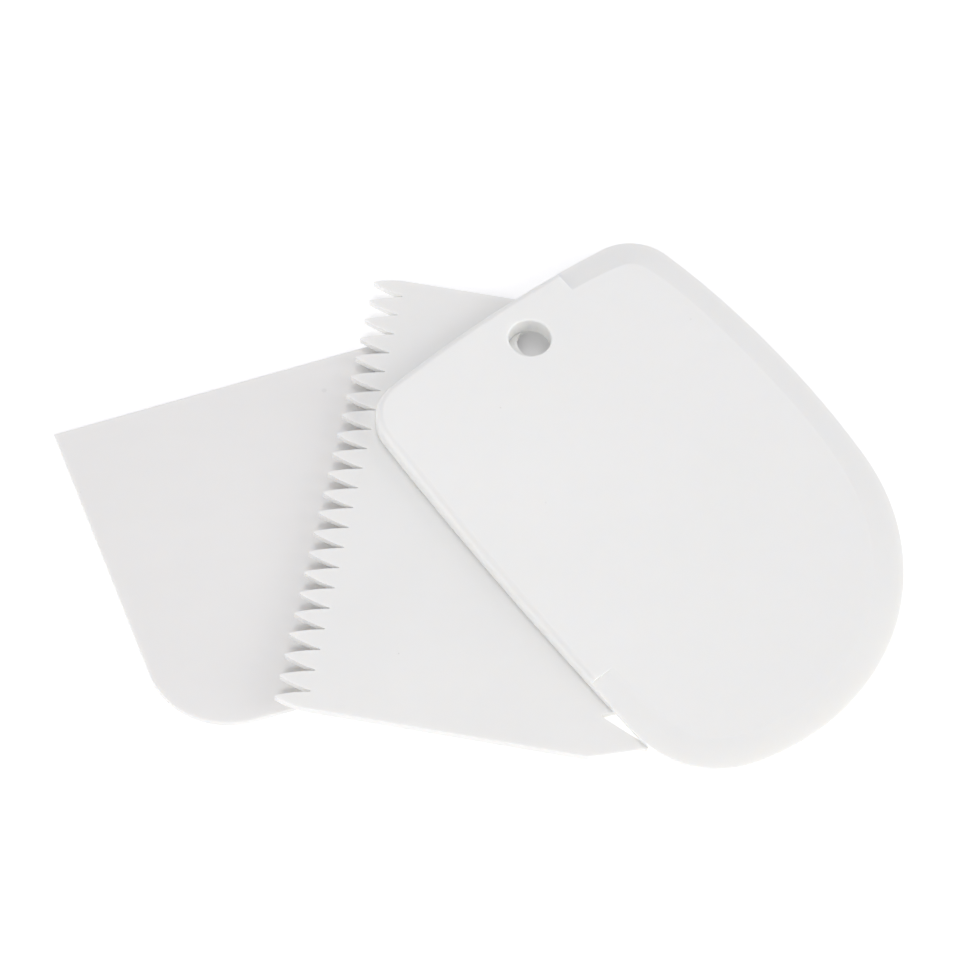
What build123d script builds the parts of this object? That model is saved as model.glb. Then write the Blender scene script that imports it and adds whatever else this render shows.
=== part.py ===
# Set of three moulded plastic dough scrapers for a bakery bench, lying as a loose fan: a plain
# scraper on the table, a comb scraper leaning on its end, and a bowl scraper on the comb.
# Millimetres, +Z up. The origin is the bottom centre of the box round all three.
from build123d import *
import os
from math import atan, cos, degrees, radians, sin, sqrt, tan

# Plain scraper: a flat blank with two sharp corners on one long edge and two round ones opposite
plain_length = 112.8
plain_width = 90.7
plain_thickness = 1.6
plain_side_taper = 2.15
plain_corner_radius = 20.0
plain_edge_round = 0.4

# Comb scraper: fine leaf-shaped teeth on one long edge, coarse pointed teeth on the other, and a
# hanging hole midway between them
comb_length = 123.4
comb_width = 87.5
comb_thickness = 1.6
fine_tooth_count = 22
fine_tooth_depth = 8.9
fine_flank_bulge_height = 0.35
fine_tip_radius = 0.3
fine_root_radius = 0.15
fine_end_margin = 1.9
fine_shoulder_run = 8.5
coarse_tooth_count = 10
coarse_tooth_depth = 13.1
coarse_tip_radius = 0.6
coarse_root_radius = 0.3
coarse_end_margin = 5.1
coarse_shoulder_run = 13.9
comb_hole_radius = 4.4
comb_hole_across = 42.2
comb_hole_inset = 11.8

# Bowl scraper outline, measured from the hanging hole: corner circles joined by long shallow bows
grip_corner_across = 34.12
grip_corner_along = 2.04
grip_corner_radius = 11.2
blade_corner_across = 30.23
blade_corner_along = 2.09
blade_corner_radius = 12.9
nose_across = 14.42
nose_along = 64.69
nose_radius = 59.2
heel_radius = 23.4
heel_turn = 15.9
grip_end_bow = 334.0
grip_side_bow = 1165.0
blade_side_bow = 238.0

# Bowl scraper section: its thickness at the hanging hole, the slope that thins it towards the nose,
# a rounded grip side and a bevelled blade side
bowl_thickness = 4.57
bowl_taper = 1.17
grip_edge_round = 1.8
grip_foot_round = 0.5
bevel_width = 7.0
bevel_drop = 1.2
bevel_edge_round = 0.3
bevel_start_across = 17.08
bevel_end_along = 83.59

# The bowl scraper's hanging hole, straight through with its top rim rounded
bowl_hole_radius = 5.2
bowl_hole_rim_round = 0.4

# How the three lie: turns as seen from above, distances along and across the piece underneath
rest_gap = 0.05
plain_turn = 18.97
comb_turn = -29.09
comb_along = 85.38
comb_beyond = 15.95
bowl_turn = 47.97
bowl_inset = 41.07
bowl_down = 12.06

# Side of the blocks that part the bowl scraper into zones, larger than any piece
CUT_SPAN = 1000.0


def flats(solid):
    return solid.faces().filter_by(GeomType.PLANE).sort_by(Axis.Z)


def rims(plate):
    """The edges round the underside and the top of a flat plate."""
    return flats(plate)[0].edges() + flats(plate)[-1].edges()


def plain_scraper():
    """Origin at a sharp corner, straight edge along +X, sides closing in towards -Y."""
    draw_in = plain_width * tan(radians(plain_side_taper))
    outline = make_face(Polyline(
        (0, 0),
        (plain_length, 0),
        (plain_length - draw_in, -plain_width),
        (draw_in, -plain_width),
        close=True,
    ))
    low_corners = outline.vertices().group_by(Axis.Y)[0]
    outline = fillet(low_corners, plain_corner_radius)
    plate = extrude(outline, plain_thickness)
    return fillet(rims(plate), plain_edge_round)


def bulged_arc(start, end, bulge):
    """An arc that stands out by the bulge on the left-hand side of its chord."""
    chord = end - start
    outward = Vector(-chord.Y, chord.X).normalized()
    return ThreePointArc(start, (start + end) / 2 + outward * bulge, end)


def fine_edge(pitch):
    """The leaf-shaped teeth down the -X side, from the top shoulder to the bottom one."""
    top = fine_end_margin
    bottom = fine_end_margin - comb_length
    first_tip = Vector(0, 0)
    last_tip = Vector(0, -(fine_tooth_count - 1) * pitch)
    edges = [TangentArc((fine_shoulder_run, top), first_tip, tangent=(-1, 0))]
    for tooth in range(fine_tooth_count - 1):
        tip = Vector(0, -tooth * pitch)
        root = Vector(fine_tooth_depth, -(tooth + 0.5) * pitch)
        next_tip = Vector(0, -(tooth + 1) * pitch)
        edges.append(bulged_arc(root, tip, fine_flank_bulge_height))
        edges.append(bulged_arc(next_tip, root, fine_flank_bulge_height))
    edges.append(TangentArc((fine_shoulder_run, bottom), last_tip, tangent=(-1, 0)))
    return edges


def coarse_points():
    """Corners of the pointed teeth up the +X side, from the bottom shoulder to the top one."""
    top = fine_end_margin
    bottom = fine_end_margin - comb_length
    pitch = (comb_length - 2 * coarse_end_margin) / (coarse_tooth_count - 1)
    shoulder_x = comb_width - coarse_shoulder_run
    points = [(fine_shoulder_run, bottom), (shoulder_x, bottom)]
    for tooth in range(coarse_tooth_count):
        tip_y = bottom + coarse_end_margin + tooth * pitch
        points.append((comb_width, tip_y))
        if tooth < coarse_tooth_count - 1:
            points.append((comb_width - coarse_tooth_depth, tip_y + pitch / 2))
    return points + [(shoulder_x, top), (fine_shoulder_run, top)]


def soften(outline, across, radius):
    """Round the row of corners that lies at one distance across the outline."""
    row = outline.vertices().filter_by_position(Axis.X, across - radius, across + radius)
    return fillet(row, radius)


def comb_scraper():
    """Origin at the first fine tooth's tip, teeth along the two long edges that run to -Y, and a
    hanging hole between them near the top edge."""
    pitch = (comb_length - 2 * fine_end_margin) / (fine_tooth_count - 1)
    outline = make_face(fine_edge(pitch) + [Polyline(coarse_points())])
    outline = soften(outline, 0, fine_tip_radius)
    outline = soften(outline, fine_tooth_depth, fine_root_radius)
    outline = soften(outline, comb_width, coarse_tip_radius)
    outline = soften(outline, comb_width - coarse_tooth_depth, coarse_root_radius)
    hole_place = Pos(comb_hole_across, fine_end_margin - comb_hole_inset)
    outline -= hole_place * Circle(comb_hole_radius)
    return extrude(outline, comb_thickness)


def bow(first, second, radius):
    """The long arc that wraps two corner circles, each a centre and a radius, anticlockwise."""
    reach_first = radius - first[1]
    reach_second = radius - second[1]
    step = second[0] - first[0]
    along = (reach_first**2 - reach_second**2 + step.length**2) / (2 * step.length)
    off = sqrt(reach_first**2 - along**2)
    forward = step.normalized()
    centre = first[0] + forward * along + Vector(-forward.Y, forward.X) * off
    start = centre + (first[0] - centre).normalized() * radius
    end = centre + (second[0] - centre).normalized() * radius
    return centre, start, end


def arc_about(centre, start, end):
    """The shorter arc about a centre."""
    spoke = (start - centre) + (end - centre)
    middle = centre + spoke.normalized() * (start - centre).length
    return ThreePointArc(start, middle, end)


def bowl_outline():
    """Origin at the hanging hole, grip end towards +Y, nose towards -Y, blade side towards +X."""
    grip_corner = (Vector(-grip_corner_across, -grip_corner_along), grip_corner_radius)
    blade_corner = (Vector(blade_corner_across, -blade_corner_along), blade_corner_radius)
    nose = (Vector(-nose_across, -nose_along), nose_radius)
    heel_way = Vector(-sin(radians(heel_turn)), -cos(radians(heel_turn)))
    heel = (nose[0] + heel_way * (nose_radius - heel_radius), heel_radius)
    heel_joint = nose[0] + heel_way * nose_radius
    end_centre, end_start, end_stop = bow(blade_corner, grip_corner, grip_end_bow)
    grip_centre, grip_start, grip_stop = bow(grip_corner, heel, grip_side_bow)
    blade_centre, blade_start, blade_stop = bow(nose, blade_corner, blade_side_bow)
    return make_face([
        arc_about(end_centre, end_start, end_stop),
        arc_about(grip_corner[0], end_stop, grip_start),
        arc_about(grip_centre, grip_start, grip_stop),
        arc_about(heel[0], grip_stop, heel_joint),
        arc_about(nose[0], heel_joint, blade_start),
        arc_about(blade_centre, blade_start, blade_stop),
        arc_about(blade_corner[0], blade_stop, end_start),
    ])


def blade_zone():
    """The part of the bowl scraper that carries the bevel: the blade side and the nose."""
    side = Pos(bevel_start_across + CUT_SPAN / 2, 0) * Box(CUT_SPAN, CUT_SPAN, CUT_SPAN)
    nose = Pos(0, -bevel_end_along - CUT_SPAN / 2) * Box(CUT_SPAN, CUT_SPAN, CUT_SPAN)
    return side + nose


def outer_rim(flat):
    """The curved edges of a flat, without the straight ones where the solid was cut."""
    return flat.edges().filter_by(GeomType.LINE, reverse=True)


def grip_half(plate):
    """The thick side, rounded for the hand."""
    body = fillet(outer_rim(flats(plate)[-1]), grip_edge_round)
    return fillet(outer_rim(flats(body)[0]), grip_foot_round)


def bored(body):
    """The hanging hole through the thick end, rounded where it opens in the top."""
    body = body - Cylinder(bowl_hole_radius, CUT_SPAN)
    return fillet(flats(body)[-1].inner_wires()[0].edges(), bowl_hole_rim_round)


def bevelled(plate):
    """The thin side, with a wide flat bevel all along its top edge."""
    top = flats(plate)[-1]
    body = chamfer(top.edges(), length=bevel_width, length2=bevel_drop, reference=top)
    return fillet(flats(body)[0].edges(), bevel_edge_round)


def bowl_blank():
    """The outline, planed off so that it thins from grip end to nose."""
    plate = extrude(bowl_outline(), 2 * bowl_thickness)
    slope = Vector(0, -sin(radians(bowl_taper)), cos(radians(bowl_taper)))
    return split(plate, Plane(origin=(0, 0, bowl_thickness), z_dir=slope), keep=Keep.BOTTOM)


def bowl_scraper():
    """Origin on the underside at the hanging hole, nose towards -Y, blade side towards +X."""
    blank = bowl_blank()
    zone = blade_zone()
    return bored(grip_half(blank - zone)) + (bevelled(blank) & zone)


def lean(pieces, rises):
    """Tip pieces over the plain scraper's far end until the first of them meets the table."""
    end = Location((plain_length, 0, plain_thickness), (0, 0, -plain_side_taper))
    turns = []
    for piece, rise in zip(pieces, rises):
        reach = (end.inverse() * piece).bounding_box().max.X
        turns.append(degrees(atan(rise / reach)))
    tip = end * Location((0, 0, 0), (0, min(turns), 0)) * end.inverse()
    return [tip * piece for piece in pieces]


def laid_out():
    """The three pieces as they lie, still in the plain scraper's frame."""
    comb_underside = plain_thickness + rest_gap
    bowl_underside = comb_underside + comb_thickness + rest_gap
    comb_place = Location((comb_along, comb_beyond, comb_underside), (0, 0, comb_turn))
    on_comb = Location((bowl_inset, -bowl_down, comb_thickness + rest_gap), (0, 0, bowl_turn))
    comb = comb_place * comb_scraper()
    bowl = comb_place * on_comb * bowl_scraper()
    return [plain_scraper()] + lean([comb, bowl], (comb_underside, bowl_underside))


def standing(pieces):
    """Turn the group to its heading and bring the bottom centre of its box to the origin."""
    turned = [Location((0, 0, 0), (0, 0, plain_turn)) * piece for piece in pieces]
    box = Compound(children=[piece.moved(Location()) for piece in turned]).bounding_box()
    middle = box.center()
    shift = Location((-middle.X, -middle.Y, -box.min.Z))
    return [shift * piece for piece in turned]


os.makedirs("parts", exist_ok=True)
names = ("plain_scraper", "comb_scraper", "bowl_scraper")
for name, piece in zip(names, standing(laid_out())):
    export_step(piece, f"parts/{name}.step")
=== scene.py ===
# %% [markdown]
# # Three white dough scrapers, fanned out on a pale table
#
# The object is a baker's set of moulded plastic scrapers: a plain blade with two round corners, a
# comb with a fine and a coarse toothed edge, and a D-shaped bowl scraper with a thin bevelled
# rim. Their solids come ready-made from the CAD frame, at their real size and in their real
# places. This lesson gives them a milky moulded plastic, a table, the lamps and a camera.
#
# The frame is loaded first.

# %% Load the frame
import math

import bpy
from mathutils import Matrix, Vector

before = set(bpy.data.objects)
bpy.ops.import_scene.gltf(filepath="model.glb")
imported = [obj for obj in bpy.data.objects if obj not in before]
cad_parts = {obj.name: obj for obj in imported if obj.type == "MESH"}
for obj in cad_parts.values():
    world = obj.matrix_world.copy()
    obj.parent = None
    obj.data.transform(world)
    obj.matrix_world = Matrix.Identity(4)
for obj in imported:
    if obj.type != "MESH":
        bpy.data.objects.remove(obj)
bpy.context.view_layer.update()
MM = 0.001

# %% [markdown]
# ## Writing a finish as sums and products
#
# A procedural material is a little calculation that runs at every point of the surface. In the
# node editor each plus or times sign is a node of its own, which soon hides the sum behind the
# wires. Here one small class wraps a node's output and gives it Python's own signs, so that a
# mask reads as `1 - mask` and still becomes Math nodes.

# %% A value that varies over the surface
class Value:
    """The output of a node. Sums, differences and products of values add the Math nodes."""

    def __init__(self, finish, socket):
        self.finish = finish
        self.socket = socket

    def math(self, operation, first, second):
        settings = {"operation": operation}
        return self.finish.node("ShaderNodeMath", settings, {0: first, 1: second})

    def __add__(self, other):
        return self.math("ADD", self, other)

    def __radd__(self, other):
        return self.math("ADD", other, self)

    def __sub__(self, other):
        return self.math("SUBTRACT", self, other)

    def __rsub__(self, other):
        return self.math("SUBTRACT", other, self)

    def __mul__(self, other):
        return self.math("MULTIPLY", self, other)


# %% [markdown]
# Everything that isn't plain arithmetic comes from one method. It takes the node's type, then its
# settings, then what goes into its sockets. The settings come first because a Mix node shows other
# sockets once it is told to mix colours. It has one set for each kind of data, all with the same
# names, so the colour ones are picked by number.

# %% A finish, and the one way to add a node to it
MIX_FACTOR, MIX_FIRST, MIX_SECOND, MIX_RESULT = 0, 6, 7, 2


class Finish:
    """A material for one material slot, with its Principled shader ready to be fed."""

    def __init__(self, name):
        self.material = bpy.data.materials.new(name)
        self.material.use_nodes = True
        self.tree = self.material.node_tree
        self.shader = self.tree.nodes["Principled BSDF"]
        self.place = self.node("ShaderNodeTexCoord", {}, {}, output="Object")

    def node(self, kind, settings, sockets, output=0):
        made = self.tree.nodes.new(kind)
        for name, setting in settings.items():
            setattr(made, name, setting)
        for name, given in sockets.items():
            self.feed(made.inputs[name], given)
        return Value(self, made.outputs[output])

    def feed(self, socket, given):
        if isinstance(given, Value):
            self.tree.links.new(given.socket, socket)
        else:
            socket.default_value = given

    def noise(self, place, size, detail):
        """Soft random value from 0 to 1 whose blotches are about `size` metres across."""
        sockets = {"Vector": place, "Scale": 1 / size, "Detail": detail}
        return self.node("ShaderNodeTexNoise", {}, sockets)

    def ramp(self, value, low, high):
        """0 below `low`, 1 above `high`, and a smooth step between them."""
        settings = {"interpolation_type": "SMOOTHSTEP"}
        sockets = {"Value": value, "From Min": low, "From Max": high}
        return self.node("ShaderNodeMapRange", settings, sockets)

    def stretched(self, turn, shrink):
        """Object coordinates turned about +Z by `turn` degrees, then squeezed along each axis."""
        sockets = {"Vector": self.place, "Rotation": (0, 0, math.radians(turn)), "Scale": shrink}
        return self.node("ShaderNodeMapping", {"vector_type": "POINT"}, sockets)

    def mix_colours(self, factor, first, second):
        settings = {"data_type": "RGBA"}
        sockets = {MIX_FACTOR: factor, MIX_FIRST: first, MIX_SECOND: second}
        return self.node("ShaderNodeMix", settings, sockets, output=MIX_RESULT)


# %% [markdown]
# ## The plastic
#
# Scrapers like these are moulded in polypropylene filled with white pigment. Close to, such
# plastic is never one flat white:
#
# - the melt cools unevenly, which leaves wide clouds a shade lighter or darker;
# - it flows away from the gate, which leaves faint streaks along the part;
# - the mould's satin grain breaks up the shine;
# - a few grains of dark dust get moulded in;
# - stacking and drying leave hair-fine scuffs that only show in the gloss.
#
# All five are patterns on Object coordinates. The object's origin is the shared one, so a pattern
# stays put on its piece when the piece is lifted.

# %% Clouds and flow streaks in the melt
def clouds(finish):
    """Wide soft blotches plus smaller ones, about -0.5 to 0.5."""
    wide = finish.noise(finish.place, 38 * MM, detail=2)
    small = finish.noise(finish.place, 7 * MM, detail=3)
    return wide * 0.7 + small * 0.3 - 0.5


def flow_streaks(finish, turn):
    """Noise drawn out along the way the melt ran, about -0.5 to 0.5."""
    along = finish.stretched(-turn, (0.12, 1.0, 1.0))
    return finish.noise(along, 3.5 * MM, detail=3) - 0.5


# %% Moulded-in dust
SOLID_SHARE = 0.45
DUST_SPACING = 16 * MM
DUST_CORE, DUST_RIM = 0.006, 0.016


def soft_ball(finish, centre, radius):
    """1 inside a small ball round `centre` (metres), falling to 0 at its soft rim."""
    sockets = {0: finish.place, 1: centre}
    away = finish.node("ShaderNodeVectorMath", {"operation": "DISTANCE"}, sockets, output="Value")
    return 1 - finish.ramp(away, SOLID_SHARE * radius, radius)


def dust(finish):
    """Tiny scattered grains: the middles of the cells of a Voronoi pattern."""
    settings = {"feature": "F1"}
    cell = {"Vector": finish.place, "Scale": 1 / DUST_SPACING}
    near = finish.node("ShaderNodeTexVoronoi", settings, cell, output="Distance")
    return 1 - finish.ramp(near, DUST_CORE, DUST_RIM)


# %% Grain of the mould and scuffs of use
def satin_grain(finish):
    """Height of the mould's fine spark-eroded texture, 0 to 1."""
    fine = finish.noise(finish.place, 0.35 * MM, detail=2)
    broad = finish.noise(finish.place, 2.6 * MM, detail=2)
    return fine * 0.6 + broad * 0.4


def scuffs(finish, turn):
    """Thin straight marks: the crests of noise drawn out very long, 0 to 1."""
    across = finish.stretched(-turn, (0.03, 1.0, 1.0))
    crossing = finish.stretched(-turn - 62, (0.04, 1.0, 1.0))
    first = finish.ramp(finish.noise(across, 0.5 * MM, detail=1), 0.66, 0.78)
    second = finish.ramp(finish.noise(crossing, 0.6 * MM, detail=1), 0.68, 0.80)
    return first + second


# %% [markdown]
# The pigment makes the plastic nearly opaque, but light still goes about a millimetre into it
# before it comes back. That is what softens the edges of a thin white moulding. Subsurface
# scattering does this in the shader itself. Its strength is the same everywhere, so it is set
# straight on the socket, as is the index of refraction. Clean white plastic sends back about nine
# tenths of the light, so a narrow gap between two scrapers is lit by their own walls.

# %% Mix the milky plastic
DUST_COLOUR = (0.30, 0.28, 0.25, 1.0)
DUST_STRENGTH = 0.22
SATIN_ROUGHNESS = 0.33
GRAIN_HEIGHT = 0.012 * MM
GRAIN_STRENGTH = 0.25
REFRACTIVE_INDEX = 1.49
LIGHT_DEPTH = 0.7 * MM
LIGHT_DEPTH_RATIOS = (1.0, 0.95, 0.88)


def milky_plastic(name, pale, deep, turn, flecks):
    """White satin plastic. `pale` and `deep` are the two ends of its clouds, as linear colours.
    The melt ran along `turn`, in degrees from +X. A fleck is (centre, radius, strength)."""
    finish = Finish(name)
    marks = scuffs(finish, turn)
    cloudiness = clouds(finish) * 0.8 + flow_streaks(finish, turn) * 0.35 + 0.5
    colour = finish.mix_colours(cloudiness, pale + (1.0,), deep + (1.0,))
    dirt = dust(finish) * DUST_STRENGTH
    for centre, radius, strength in flecks:
        dirt = dirt + soft_ball(finish, centre, radius) * strength
    colour = finish.mix_colours(dirt, colour, DUST_COLOUR)
    finish.feed(finish.shader.inputs["Base Color"], colour)
    roughness = SATIN_ROUGHNESS + clouds(finish) * 0.10 + marks * 0.06
    finish.feed(finish.shader.inputs["Roughness"], roughness)
    height = satin_grain(finish) - marks * 0.35
    sockets = {"Height": height, "Strength": GRAIN_STRENGTH, "Distance": GRAIN_HEIGHT}
    bump = finish.node("ShaderNodeBump", {}, sockets)
    finish.feed(finish.shader.inputs["Normal"], bump)
    finish.shader.inputs["IOR"].default_value = REFRACTIVE_INDEX
    finish.shader.inputs["Subsurface Weight"].default_value = 1.0
    finish.shader.inputs["Subsurface Radius"].default_value = LIGHT_DEPTH_RATIOS
    finish.shader.inputs["Subsurface Scale"].default_value = LIGHT_DEPTH
    return finish.material


# %% [markdown]
# Each moulding gets its own pair of whites. They step darker from the bowl on top to the
# plain at the bottom. That step is painted shade: the lower pieces stand less in the light.
# The few grains of dust big enough to see have their own places.

# %% Paint the three scrapers
# The whites step darker from bowl to comb to plain: painted shade for the lower pieces.
plastics = {
    "plain_scraper": dict(
        pale=(0.885, 0.879, 0.862),
        deep=(0.858, 0.850, 0.833),
        turn=18.8,
        flecks=[((-36.2 * MM, 32.2 * MM, 1.6 * MM), 0.8 * MM, 0.10)],
    ),
    "comb_scraper": dict(
        pale=(0.894, 0.893, 0.873),
        deep=(0.868, 0.867, 0.847),
        turn=-10.3,
        flecks=[((-22.5 * MM, 17.8 * MM, 4.6 * MM), 0.7 * MM, 0.28)],
    ),
    "bowl_scraper": dict(
        pale=(0.929, 0.930, 0.903),
        deep=(0.909, 0.910, 0.883),
        turn=-52.1,
        flecks=[
            ((61.9 * MM, 24.3 * MM, 6.3 * MM), 0.6 * MM, 0.35),
            ((44.7 * MM, 25.4 * MM, 6.9 * MM), 0.5 * MM, 0.25),
        ],
    ),
}

for name, recipe in plastics.items():
    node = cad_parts[name]
    node.data.materials.clear()
    node.data.materials.append(milky_plastic(name, **recipe))
    print(f"{name}: {len(node.data.materials[0].node_tree.nodes)} shader nodes")

# %% [markdown]
# ## Table and light
#
# White plastic on a white table is hard to light. If the table is lit like the object, the edges
# drown, so the table has to be a clear step brighter. A light table does it: a pale sheet that
# also glows a little, which fills in the shadows that would fall on it. The object keeps its own
# soft shading.
#
# Two small places need their own glow. The sheet is dimmed under the hanging holes: painted
# shade, so that the bottom of the hole goes dark as it does over an ordinary bench. Behind the
# comb's last coarse notch the two scrapers above shade the sheet, so it glows more there and
# stays white: painted light.

# %% Lay the table
SHEET_WHITE = 0.93
SHEET_ROUGHNESS = 0.9
SHEET_DROP = 0.02 * MM


def grey(shade):
    return (shade, shade, shade, 1.0)


def light_table(size, glow, painted_patches):
    """A square pale sheet a hair below the object's foot, `size` metres wide. It glows by
    `glow`, and by another amount in each round patch, (centre, radius, glow). A patch that glows
    less is painted shade, one that glows more is painted light."""
    mesh = bpy.data.meshes.new("light_table")
    half = size / 2
    corners = [(-half, -half, 0), (half, -half, 0), (half, half, 0), (-half, half, 0)]
    mesh.from_pydata(corners, [], [(0, 1, 2, 3)])
    table = bpy.data.objects.new("light_table", mesh)
    table.location.z = -SHEET_DROP
    bpy.context.scene.collection.objects.link(table)
    finish = Finish("pale_sheet")
    finish.shader.inputs["Base Color"].default_value = grey(SHEET_WHITE)
    finish.shader.inputs["Roughness"].default_value = SHEET_ROUGHNESS
    finish.shader.inputs["Specular IOR Level"].default_value = 0.0
    shine = grey(glow)
    for centre, radius, patch_glow in painted_patches:
        patch = soft_ball(finish, centre, radius)
        shine = finish.mix_colours(patch, shine, grey(patch_glow))
    finish.feed(finish.shader.inputs["Emission Color"], shine)
    finish.shader.inputs["Emission Strength"].default_value = 1.0
    mesh.materials.append(finish.material)
    return table


# Painted shade under the hole, and painted light behind the last coarse notch.
painted_shade_under_hole = ((14.6 * MM, 45.3 * MM, 0.0), 11 * MM, 0.05)
painted_light_behind_notch = ((35.8 * MM, -63.5 * MM, 0.0), 14 * MM, 0.50)
table = light_table(size=6.0, glow=0.28, painted_patches=[painted_shade_under_hole, painted_light_behind_notch])
print(f"{table.name}: top at {table.location.z / MM:.2f} mm")

# %% [markdown]
# The room is an even, faintly lilac white, as inside a light tent, and four square panels add to
# it:
#
# - the window is low on the right. It is what makes a bevel that turns away from it go darker,
#   and it throws the comb's soft shadow to the left;
# - the side panel, low on the left, reaches in under the comb's teeth;
# - the fill is in front, a little to the left and lower than the camera, and lights the walls
#   that face it;
# - the ceiling panel is high at the back, where the flat faces mirror it. A bevel mirrors some
#   other place, so its edge with the flat face shows.
#
# Low panels change a level face very little but tell one slope from another. That is why the
# shading can be this soft and still show a bevel of ten degrees.

# %% Hang the lamps
def white_room(colour, strength):
    world = bpy.data.worlds.new("white_room")
    world.use_nodes = True
    background = world.node_tree.nodes["Background"]
    background.inputs["Color"].default_value = colour + (1.0,)
    background.inputs["Strength"].default_value = strength
    bpy.context.scene.world = world


def soft_panel(name, azimuth, elevation, distance, side, power, tint):
    """A square panel that faces the object. Azimuth 0 is in front, and 90 on the right."""
    turn, rise = math.radians(azimuth), math.radians(elevation)
    towards = Vector((
        math.sin(turn) * math.cos(rise),
        -math.cos(turn) * math.cos(rise),
        math.sin(rise),
    ))
    light = bpy.data.lights.new(name, "AREA")
    light.shape = "SQUARE"
    light.size = side
    light.energy = power
    light.color = tint
    panel = bpy.data.objects.new(name, light)
    panel.location = towards * distance
    panel.rotation_mode = "QUATERNION"
    panel.rotation_quaternion = towards.to_track_quat("Z", "Y")
    bpy.context.scene.collection.objects.link(panel)
    print(f"{name}: {power} W from {distance} m")


big = dict(distance=3.0, side=2.0, tint=(0.995, 0.99, 0.975))
small = dict(distance=2.0, side=0.8, tint=(1.0, 1.0, 1.0))
white_room(colour=(0.949, 0.943, 1.0), strength=0.46)
soft_panel("window", azimuth=74, elevation=18, power=44, **big)
soft_panel("fill", azimuth=-15, elevation=42, power=19, **big)
soft_panel("side", azimuth=-78, elevation=12, power=26, **big)
soft_panel("ceiling", azimuth=180, elevation=64, power=6.2, **small)

# %% [markdown]
# ## Camera
#
# A long lens from about a metre away, 57 degrees above the table, looks straight along +Y. The
# long lens keeps the edges of the flat pieces nearly parallel.

# %% Set up the camera
def long_lens(target, elevation, distance, lens):
    """A camera in front of the object that looks at `target` (metres) from `elevation` degrees."""
    rise = math.radians(elevation)
    back = Vector((0, -math.cos(rise), math.sin(rise)))
    camera = bpy.data.objects.new("camera", bpy.data.cameras.new("camera"))
    camera.data.lens = lens
    camera.data.sensor_width = 36
    camera.data.clip_start = 0.05
    camera.data.clip_end = 20
    camera.location = Vector(target) + back * distance
    camera.rotation_mode = "QUATERNION"
    camera.rotation_quaternion = back.to_track_quat("Z", "Y")
    bpy.context.scene.collection.objects.link(camera)
    bpy.context.scene.camera = camera
    return camera


camera = long_lens((1.326 * MM, 7.504 * MM, 0), elevation=57, distance=1.0238, lens=161.25)
bpy.context.scene.view_settings.view_transform = "Standard"
print("camera at", [round(x, 3) for x in camera.location])
